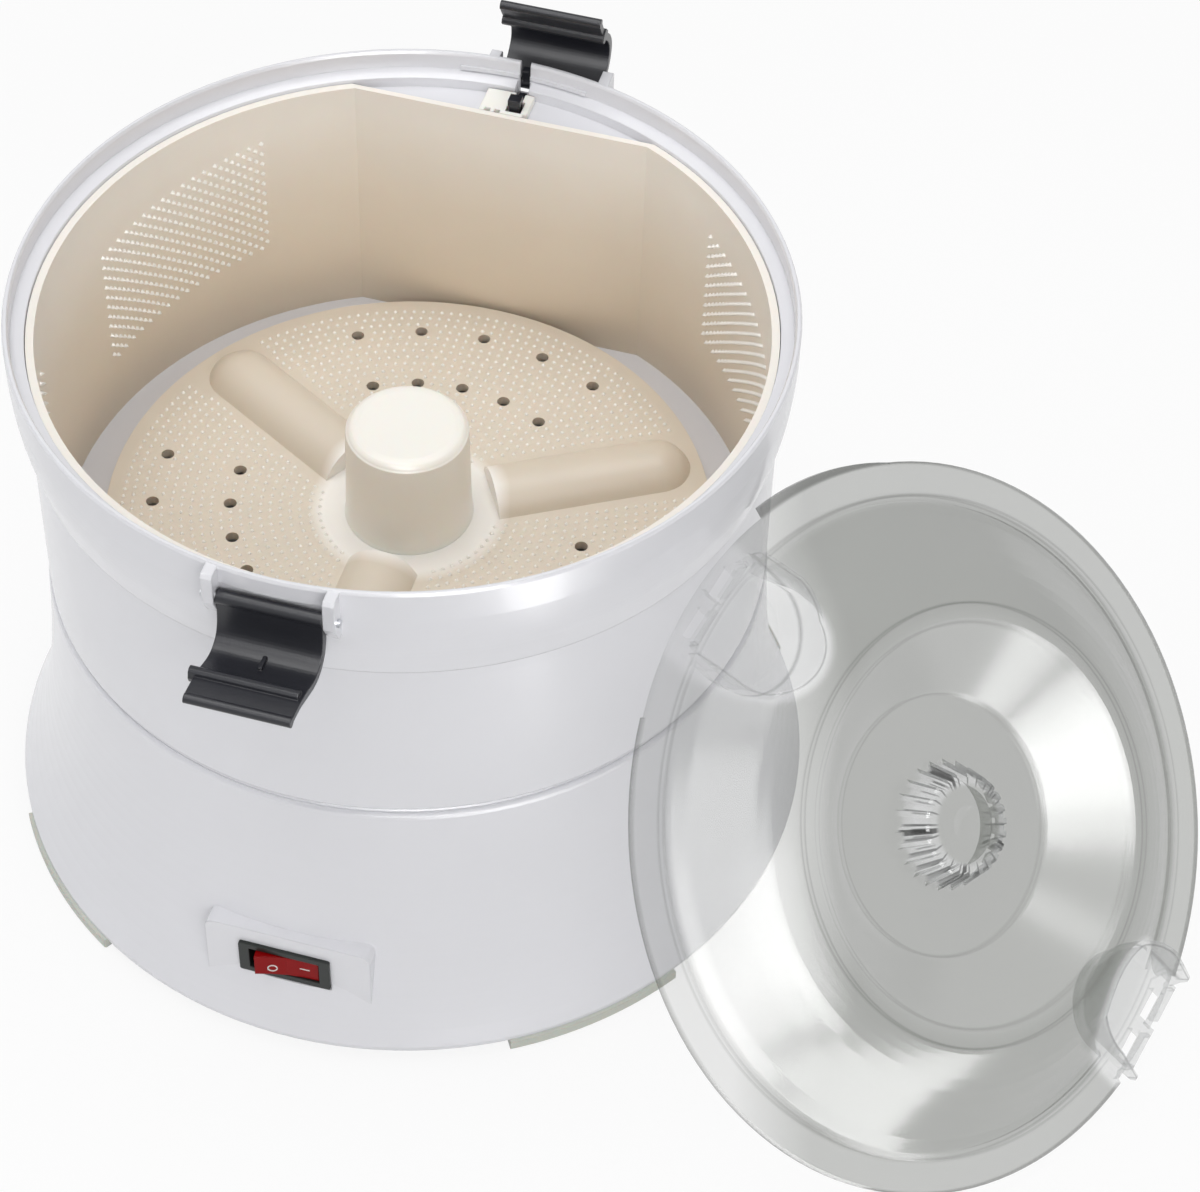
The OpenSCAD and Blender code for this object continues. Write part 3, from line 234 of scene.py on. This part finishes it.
# a tall leaning card and a low one that show only in gloss, as the broad
# sheen on the lid's slopes
CARD_AIM = at(190, -55, 90)
card = area("card", at(520, -1290, 900), CARD_AIM, 0.75, 46, tall=2.6)
lean = Vector((-0.494, 0.335, 0.8)).normalized()
back = (card.location - CARD_AIM).normalized()
lean = (lean - back * lean.dot(back)).normalized()
card.rotation_euler = Matrix((lean.cross(back), lean, back)).transposed().to_euler()
low_card = area("floor_card", at(450, -385, 1), at(450, -385, 500), 0.5, 3.6, tall=0.42)
for lamp in (card, low_card):
    lamp.visible_diffuse = False
    lamp.visible_camera = False

# ---------- materials ----------
FINE = 0.0002   # depth of moulded grain and brush lines
EDGE = 0.0006   # radius that rounds a moulded edge
SKIN = 0.004    # reach of light under a pale plastic's surface


def plastic(name, rgb, rough=0.3, vary=0.03, grain=900, bump=0.06, coat=0.0, spec=0.5, sub=0.0):
    """Moulded plastic: faint cloudy colour, fine moulded grain, uneven gloss."""
    n = Net(name)
    c = lin(rgb)
    lo = tuple(max(0, v * (1 - vary)) for v in c)
    hi = tuple(min(1, v * (1 + vary)) for v in c)
    n.link(n.ramp(n.noise(14, 4), [(0.3, lo), (0.7, hi)]), n.b.inputs["Base Color"])
    n.link(n.span(n.noise(60, 4), 0, 1, rough * 0.85, rough * 1.2), n.b.inputs["Roughness"])
    n.bump(n.noise(grain, 2), bump, FINE, soften=EDGE)
    n.set(Specular_IOR_Level=spec)
    if coat:
        n.set(Coat_Weight=coat, Coat_Roughness=0.08)
    if sub:
        n.set(Subsurface_Weight=sub, Subsurface_Scale=SKIN)
    return n.m


def metal(name, rgb, rough=0.3, brush=(1, 1, 60), vary=0.06):
    """Turned or brushed metal with fine lines."""
    n = Net(name)
    c = lin(rgb)
    lines = n.noise(40, 5, 0.6, brush)
    lo = tuple(v * (1 - vary) for v in c)
    hi = tuple(min(1, v * (1 + vary)) for v in c)
    n.link(n.ramp(lines, [(0.3, lo), (0.7, hi)]), n.b.inputs["Base Color"])
    n.link(n.span(lines, 0, 1, rough * 0.7, rough * 1.3), n.b.inputs["Roughness"])
    n.bump(lines, 0.12, FINE)
    n.set(Metallic=1.0)
    return n.m


def cream_plastic(name, stops, by_radius):
    """Cream plastic whose tone changes with radius or height, in metres; by height it is
    painted shade, darker deeper down.
    """
    n = Net(name)
    shift = n.add("VectorMath", operation="SUBTRACT")
    n.link(n.co, shift.inputs[0])
    shift.inputs[1].default_value = (AXIS_X, AXIS_Y, 0)
    s = n.add("SeparateXYZ")
    n.link(shift.outputs[0], s.inputs[0])
    x, y, z = s.outputs
    cloudy = n.mul(n.math("SUBTRACT", n.noise(9, 3), 0.5), 0 if by_radius else 0.02)
    place = n.plus(n.length(x, y) if by_radius else z, cloudy)
    top = stops[-1][0]
    tone = n.ramp(n.math("DIVIDE", place, top), [(p / top, lin(c)) for p, c in stops])
    mottle = n.ramp(n.noise(26, 4), [(0.3, 0.96), (0.7, 1.0)])
    n.link(n.blend("MULTIPLY", 1, tone, mottle), n.b.inputs["Base Color"])
    n.link(n.span(n.noise(60, 4), 0, 1, 0.3, 0.42), n.b.inputs["Roughness"])
    n.bump(n.noise(1100, 2), 0.07, FINE)
    n.set(Subsurface_Weight=0.1, Subsurface_Scale=SKIN)
    return n.m


# ---------- the lid's own frame, and its clear plastic ----------
LID_EL, LID_AZ = math.radians(42.4), math.radians(62.3)  # where its face looks
LID_OUT, LID_ROUND = 200.8, math.radians(74.1)           # where its middle is
LID_R = 117.6
LID_TURN = Matrix.Rotation(LID_AZ, 3, "Z") @ Matrix.Rotation(math.pi / 2 - LID_EL, 3, "X")
LID_AT = at(LID_OUT * math.sin(LID_ROUND), -LID_OUT * math.cos(LID_ROUND),
            LID_R * math.cos(LID_EL))

LID_UNIT = 0.12  # metres to one unit of the radial tables
# painted shade: thin dark lines, by radius, where the lid's wall bends
LID_DARK_LINES = [(0, 0), (0.3466, 0), (0.350, 0.35), (0.3535, 0), (0.53, 0), (0.535, 0.2),
             (0.541, 0), (0.582, 0), (0.5865, 0.4), (0.591, 0), (0.8855, 0),
             (0.8885, 0.8), (0.8915, 0), (0.972, 0), (0.978, 0.6), (1, 0.5)]
LID_ALPHA = [(0, 0.38), (0.53, 0.38), (0.6, 0.46), (0.86, 0.46), (0.9, 0.3), (1, 0.3)]

POCKET_AZ = math.radians(108.4)     # line through both pockets
POCKET_AT = 0.098                   # middle of a pocket's round end
POCKET_EDGE = (0.0208, 0.0235)      # where a pocket's clear floor fades out
POCKET_UNIT = 0.024
# painted shade: thin dark lines along the pockets' walls
POCKET_DARK_LINES = [(0, 0), (0.625, 0), (0.645, 0.55), (0.665, 0), (0.81, 0), (0.83, 0.75),
                (0.85, 0)]
POCKET_RISE = (0.004, 0.007)        # heights between which the painted dark lines on its walls start to show

KNOB_RIBS, KNOB_BLOCKS = 24, 5      # narrow ribs, and painted dark blocks among them
KNOB_UNIT = 0.05
KNOB_BAND = [(0.24, 0), (0.27, 1), (0.43, 1), (0.45, 0)]
KNOB_RISE = (0.0085, 0.0100)

SMOKE = (82, 87, 77), (94, 99, 88)  # darkest and lightest tint
GLINT = (0.72, 0.73, 0.74, 1)       # painted glint: linear tint that lightens the pockets and knob


def lid_coords(n):
    """x, y, radius, angle and height about the lid's own axis."""
    to_lid = LID_TURN.transposed()
    mp = n.add("Mapping")
    mp.inputs["Rotation"].default_value = to_lid.to_euler("XYZ")
    mp.inputs["Location"].default_value = -(to_lid @ LID_AT)
    n.link(n.co, mp.inputs["Vector"])
    s = n.add("SeparateXYZ")
    n.link(mp.outputs[0], s.inputs[0])
    x, y, z = s.outputs
    return x, y, n.length(x, y), n.math("ARCTAN2", y, x), z


def pocket_distance(n, x, y):
    """Distance from the middle line of the nearer U-shaped pocket."""
    u, v = math.cos(POCKET_AZ), math.sin(POCKET_AZ)
    along = n.math("ABSOLUTE", n.plus(n.mul(x, u), n.mul(y, v)))
    across = n.math("ABSOLUTE", n.math("SUBTRACT", n.mul(y, u), n.mul(x, v)))
    along = n.math("MINIMUM", n.math("SUBTRACT", along, POCKET_AT), 0)
    return n.length(along, across)


def clear():
    """Clear smoky plastic with painted light and shade: dark lines where the wall bends,
    lighter pockets, a ribbed knob with painted glints and dark stripes.
    """
    n = Net("clear_lid")
    x, y, r, a, z = lid_coords(n)
    # painted shade: dark lines where the wall bends, and along the pockets' walls
    edge = n.ramp(n.math("DIVIDE", r, LID_UNIT), LID_DARK_LINES)
    d = pocket_distance(n, x, y)
    pocket = n.span(d, *POCKET_EDGE, 1, 0)
    wall = n.ramp(n.math("DIVIDE", d, POCKET_UNIT), POCKET_DARK_LINES)
    edge = n.most(edge, n.mul(wall, n.span(z, *POCKET_RISE, 0, 1)))
    # painted light and shade: light and dark stripes painted on the knob's ribs, where its
    # facets bend the light
    stripe = n.math("SINE", n.mul(a, KNOB_RIBS))
    sector = n.math("SINE", n.plus(n.mul(a, KNOB_BLOCKS), 0.6))
    near = n.ramp(n.math("DIVIDE", r, KNOB_UNIT), KNOB_BAND)
    knob = n.mul(near, n.span(z, *KNOB_RISE, 0, 1))
    thin = n.mul(knob, n.span(stripe, -0.98, -0.75, 1, 0))
    painted_dark_block = n.mul(n.span(stripe, 0.1, 0.3, 0, 1), n.span(sector, 0.82, 0.9, 0, 1))
    painted_shade = n.most(n.most(edge, n.mul(thin, 0.8)), n.mul(knob, painted_dark_block))
    # tint: smoky, lightened towards the painted glint on knob and pockets, darkened by the
    # painted shade
    low, high = SMOKE
    smoke = n.ramp(n.noise(9, 4), [(0.3, lin(low)), (0.7, lin(high))])
    tint = n.blend("MIX", n.most(n.mul(knob, 0.55), n.mul(pocket, 0.6)), smoke, GLINT)
    tint = n.blend("MULTIPLY", 1, tint, n.ramp(painted_shade, [(0, 1.0), (1, 0.06)]))
    n.link(tint, n.b.inputs["Base Color"])
    # how solid it looks: by radius; less in the pockets, as painted light, and on the side that
    # leans on the drum, as a painted reflection of the drum; more at a glancing angle and along
    # the painted dark lines
    body = n.ramp(n.math("DIVIDE", r, LID_UNIT), LID_ALPHA)
    body = n.mul(body, n.span(pocket, 0, 1, 1, 0.72))
    # painted reflection of the white drum: the lid reads clearer on its side towards the drum
    side = n.plus(n.mul(x, -0.825), n.mul(y, 0.565))
    body = n.mul(body, n.span(side, 0.05, 0.08, 1, 0.35))
    facing = n.add("LayerWeight", Blend=0.3).outputs["Facing"]
    body = n.plus(body, n.mul(n.math("POWER", facing, 5), 0.25))
    body = n.math("MINIMUM", n.plus(body, n.mul(painted_shade, 0.5)), 0.92)
    # light that passes through the lid reaches what is under it
    rays = n.add("LightPath")
    soft = n.most(rays.outputs["Is Shadow Ray"], rays.outputs["Is Diffuse Ray"])
    n.link(n.mul(body, n.span(soft, 0, 1, 1, 0.3)), n.b.inputs["Alpha"])
    n.bump(n.noise(25, 2), 0.02, 0.001)
    n.set(Roughness=0.2, Specular_IOR_Level=1.0, IOR=1.6)
    return n.m


# painted shade on the liner: darker towards the drum's floor, lighter at its top
LINER_SHADE_BY_HEIGHT = [(0.10, (222, 206, 184)), (0.16, (232, 220, 204)),
                   (0.195, (240, 233, 224)), (0.21, (238, 232, 224))]
CREAM_BY_RADIUS = [(0.0, (246, 244, 240)), (0.029, (244, 241, 236)),
                   (0.034, (216, 206, 191)), (0.11, (210, 199, 183))]

white = plastic("white_gloss", (219, 219, 223), 0.24, 0.012, 700, 0.03, coat=0.25)
white_in = plastic("white_inner", (232, 232, 234), 0.38, 0.02, 900, 0.05)
# painted highlight: rasp points near white, lighter than the cream they stand on, for the light
# on their tips
rasp_painted_light = plastic("cream_rasp", (252, 249, 244), 0.4, 0.02, 1100, 0.05)
hub_m = plastic("hub_white", (240, 237, 230), 0.3, 0.012, 900, 0.05, sub=0.15)
slate = plastic("slate", (30, 31, 37), 0.3, 0.12, 1300, 0.12)
dark = plastic("dark_frame", (33, 37, 35), 0.34, 0.06, 900, 0.08, spec=0.3)
black = plastic("black_plastic", (30, 30, 33), 0.42, 0.08, 900, 0.1)
mark_m = plastic("mark_white", (235, 232, 228), 0.4, 0.02, 900, 0.04)
foot_m = plastic("foot_rubber", (190, 193, 184), 0.55, 0.04, 800, 0.15, sub=0.2)
seal_m = plastic("seal_rubber", (24, 24, 24), 0.7, 0.1, 700, 0.15)
nylon = plastic("nylon", (226, 224, 208), 0.42, 0.03, 700, 0.05)
board = plastic("circuit_board", (24, 92, 52), 0.35, 0.12, 500, 0.08)
ferrite = plastic("ferrite", (52, 52, 56), 0.7, 0.15, 400, 0.2)
red = plastic("red_rocker", (132, 6, 8), 0.25, 0.12, 500, 0.03, spec=0.08)
steel = metal("steel", (190, 192, 196), 0.3)
spring_m = metal("spring_steel", (176, 178, 184), 0.25, (30, 30, 1))
bronze = metal("bronze", (202, 160, 92), 0.32)
copper = metal("copper", (176, 104, 62), 0.38, (1, 1, 200), 0.2)
cream = cream_plastic("cream_liner", LINER_SHADE_BY_HEIGHT, by_radius=False)
cream_disc = cream_plastic("cream_disc", CREAM_BY_RADIUS, by_radius=True)

LOOK = {
    white: "base_housing drum",
    white_in: "base_cover",
    cream: "liner",
    cream_disc: "peeling_disc",
    hub_m: "disc_hub interlock_bracket",
    slate: "clip_front clip_rear interlock_rod cord_gland",
    dark: "switch_frame",
    red: "switch_rocker",
    foot_m: "foot_front_left foot_front_right foot_rear_left foot_rear_right",
    seal_m: "shaft_seal",
    nylon: "idler_gear drive_gear",
    board: "rectifier_board",
    black: "motor_end_cap motor_fan microswitch",
    ferrite: "motor_magnets",
    bronze: "switch_terminals motor_pinion lower_bush upper_bush",
    copper: "motor_rotor",
    spring_m: "interlock_spring shaft_circlip",
    steel: "cover_screws gear_plate plate_screws motor_can idler_axle drive_shaft "
           "drum_screws disc_nut clip_front_pin clip_rear_pin",
    clear(): "lid",
}
for material, names in LOOK.items():
    for name in names.split():
        slots = NODES[name].data.materials
        slots.clear()
        slots.append(material)


# ---------- pieces of our own ----------
def piece(name, verts, faces, m, body, slot, smooth=False):
    me = bpy.data.meshes.new(name)
    me.from_pydata(verts, [], faces)
    me.materials.append(m)
    o = bpy.data.objects.new(name, me)
    bpy.context.scene.collection.objects.link(o)
    for p in me.polygons:
        p.use_smooth = smooth
    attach(o, body)


def studs(place, spots, w, h):
    """Small four-sided points; place gives centre, two sideways vectors, outward."""
    verts, faces = [], []
    for s in spots:
        c, u, v, n = place(*s)
        k = len(verts)
        verts += [c + u * w, c + v * w, c - u * w, c - v * w, c + n * h + v * w * 0.2]
        faces += [(k, k + 1, k + 4), (k + 1, k + 2, k + 4), (k + 2, k + 3, k + 4),
                  (k + 3, k, k + 4), (k + 3, k + 2, k + 1, k)]
    return verts, faces


SINK = 0.0001  # how far a stud's foot sits in its wall, metres
SIDE, BACK, UP = Vector((1, 0, 0)), Vector((0, 1, 0)), Vector((0, 0, 1))

# rasp on the liner's round wall: slanting fields of staggered points
LINER_IN = 116.0
RASP_PITCH, RASP_STEP, RASP_ROWS = 4.4, 2.15, 11
# each field's first and last angle from the front, and its top at both
RASP_FIELDS = ((137, 102, 190, 181), (71, 36, 186, 186))


def on_wall(az, z):
    n = Vector((-math.sin(az), math.cos(az), 0))
    c = at(LINER_IN * math.sin(az), -LINER_IN * math.cos(az), z) - n * SINK
    return c, Vector((math.cos(az), math.sin(az), 0)), UP, n


spots = []
for side in (-1, 1):
    for a0, a1, z0, z1 in RASP_FIELDS:
        cols = int(math.radians(a0 - a1) * LINER_IN / RASP_STEP)
        for i in range(cols + 1):
            az = math.radians(a0 + (a1 - a0) * i / cols)
            top = z0 + (z1 - z0) * i / cols
            for j in range(RASP_ROWS):
                spots.append((side * az, top - RASP_PITCH * (j + 0.5 * (i % 2))))
piece("liner_rasp", *studs(on_wall, spots, 0.0011, 0.0016), rasp_painted_light, "frame", "cream_liner")

# rasp on the disc, clear of its bars, holes and hub
RING_FIRST, RING_GAP, RINGS, RING_LAST = 30, 3.3, 21, 98
BAR_CLEAR, HOLE_CLEAR = 14.5, 3.6
HOLES = [(q * math.cos(math.radians(t)), q * math.sin(math.radians(t)))
         for q in (60, 86) for s in (90, 210, 330) for t in range(s - 30, s + 31, 15)]


def on_disc(x, y):
    return at(x, y, DISC_TOP) - Vector((0, 0, SINK)), SIDE, BACK, UP


spots = []
for ring in range(RINGS):
    r = RING_FIRST + RING_GAP * ring
    count = int(2 * math.pi * r / RING_GAP)
    for k in range(count):
        a = 2 * math.pi * (k + 0.5 * (ring % 2)) / count
        x, y = r * math.cos(a), r * math.sin(a)
        bar = min(abs((math.degrees(a) - 30 - 120 * b + 180) % 360 - 180) for b in range(3))
        if r * math.sin(math.radians(min(bar, 90))) < BAR_CLEAR or r > RING_LAST:
            continue
        if min(math.hypot(x - hx, y - hy) for hx, hy in HOLES) > HOLE_CLEAR:
            spots.append((x, y))
piece("disc_rasp", *studs(on_disc, spots, 0.0009, 0.001), rasp_painted_light, "disc", "cream_liner")

# marks on the rocker: a ring for off, a bar for on
ROCKER_TILT = math.radians(9)
ROCKER_AT = (-2.2, -125.6, 33.2)
ROCKER_FACE, ROCKER_SLOPE = -6.53, 0.141
MARK_OUT, MARK_IN = -0.14, 0.1  # a mark's front and back from the rocker's face


def on_rocker(x, y, z):
    c, s = math.cos(ROCKER_TILT), math.sin(ROCKER_TILT)
    return at(ROCKER_AT[0] + x * c - y * s, ROCKER_AT[1] + x * s + y * c, ROCKER_AT[2] + z)


def rocker_mark(name, x0, z0, loops):
    """A thin mark: one loop is a filled shape, two loops make a ring."""
    slope = ROCKER_SLOPE if x0 < 0 else -ROCKER_SLOPE
    verts, faces = [], []
    n = len(loops[0])
    for depth in (MARK_IN, MARK_OUT):
        for loop in loops:
            for u, z in loop:
                verts.append(on_rocker(x0 + u, ROCKER_FACE + u * slope + depth, z0 + z))
    for i in range(n):
        j = (i + 1) % n
        if len(loops) == 2:
            faces += [(i, j, n + j, n + i),
                      (2 * n + i, 3 * n + i, 3 * n + j, 2 * n + j),
                      (i, 2 * n + i, 2 * n + j, j),
                      (n + i, n + j, 3 * n + j, 3 * n + i)]
        else:
            faces.append((i, n + i, n + j, j))
    if len(loops) == 1:
        faces += [tuple(range(n)), tuple(range(2 * n - 1, n - 1, -1))]
    piece(name, verts, faces, mark_m, "rocker", "red_gloss")


RING = [[(r * math.cos(t * math.pi / 16), r * math.sin(t * math.pi / 16)) for t in range(32)]
        for r in (1.7, 1.3)]
BAR = [[(-1.7, -0.22), (1.7, -0.22), (1.7, 0.22), (-1.7, 0.22)]]
rocker_mark("rocker_mark_off", -4.8, -1.2, RING)
rocker_mark("rocker_mark_on", 6.0, 0, BAR)

# band in the seam between drum and base, just under the surface
SEAM_STEPS = 96
SEAM_SECTION = ((119.3, 106.9), (119.3, 107.95), (117.5, 107.95), (117.5, 106.9))
verts, faces = [], []
for k in range(SEAM_STEPS):
    a = 2 * math.pi * k / SEAM_STEPS
    here, there = 4 * k, 4 * ((k + 1) % SEAM_STEPS)
    for r, z in SEAM_SECTION:
        verts.append(at(r * math.sin(a), -r * math.cos(a), z))
    for j in range(4):
        m = (j + 1) % 4
        faces.append((here + j, there + j, there + m, here + m))
piece("seam_band", verts, faces, white, "frame", "white_gloss", True)

# ---------- floor ----------
FLOOR_HALF, FLOOR_Z = 4, -0.0005
FLOOR_WHITE = 0.88  # share of plain white that the camera and gloss see

page = Net("floor")
page.link(page.ramp(page.noise(2, 2), [(0.3, 0.72), (0.7, 0.74)]), page.b.inputs["Base Color"])
page.set(Roughness=0.8, Specular_IOR_Level=0.1)
path = page.add("LightPath")
seen = page.most(page.most(path.outputs["Is Camera Ray"], path.outputs["Is Glossy Ray"]),
                 path.outputs["Is Transmission Ray"])
glow = page.add("Emission", Strength=1.0)
page.blend_shaders(page.mul(seen, FLOOR_WHITE), page.b, glow, "Material Output")

me = bpy.data.meshes.new("floor")
me.from_pydata([(x * FLOOR_HALF, y * FLOOR_HALF, FLOOR_Z)
                for x, y in ((-1, -1), (1, -1), (1, 1), (-1, 1))], [], [(0, 1, 2, 3)])
me.materials.append(page.m)
floor = bpy.data.objects.new("floor", me)
bpy.context.scene.collection.objects.link(floor)
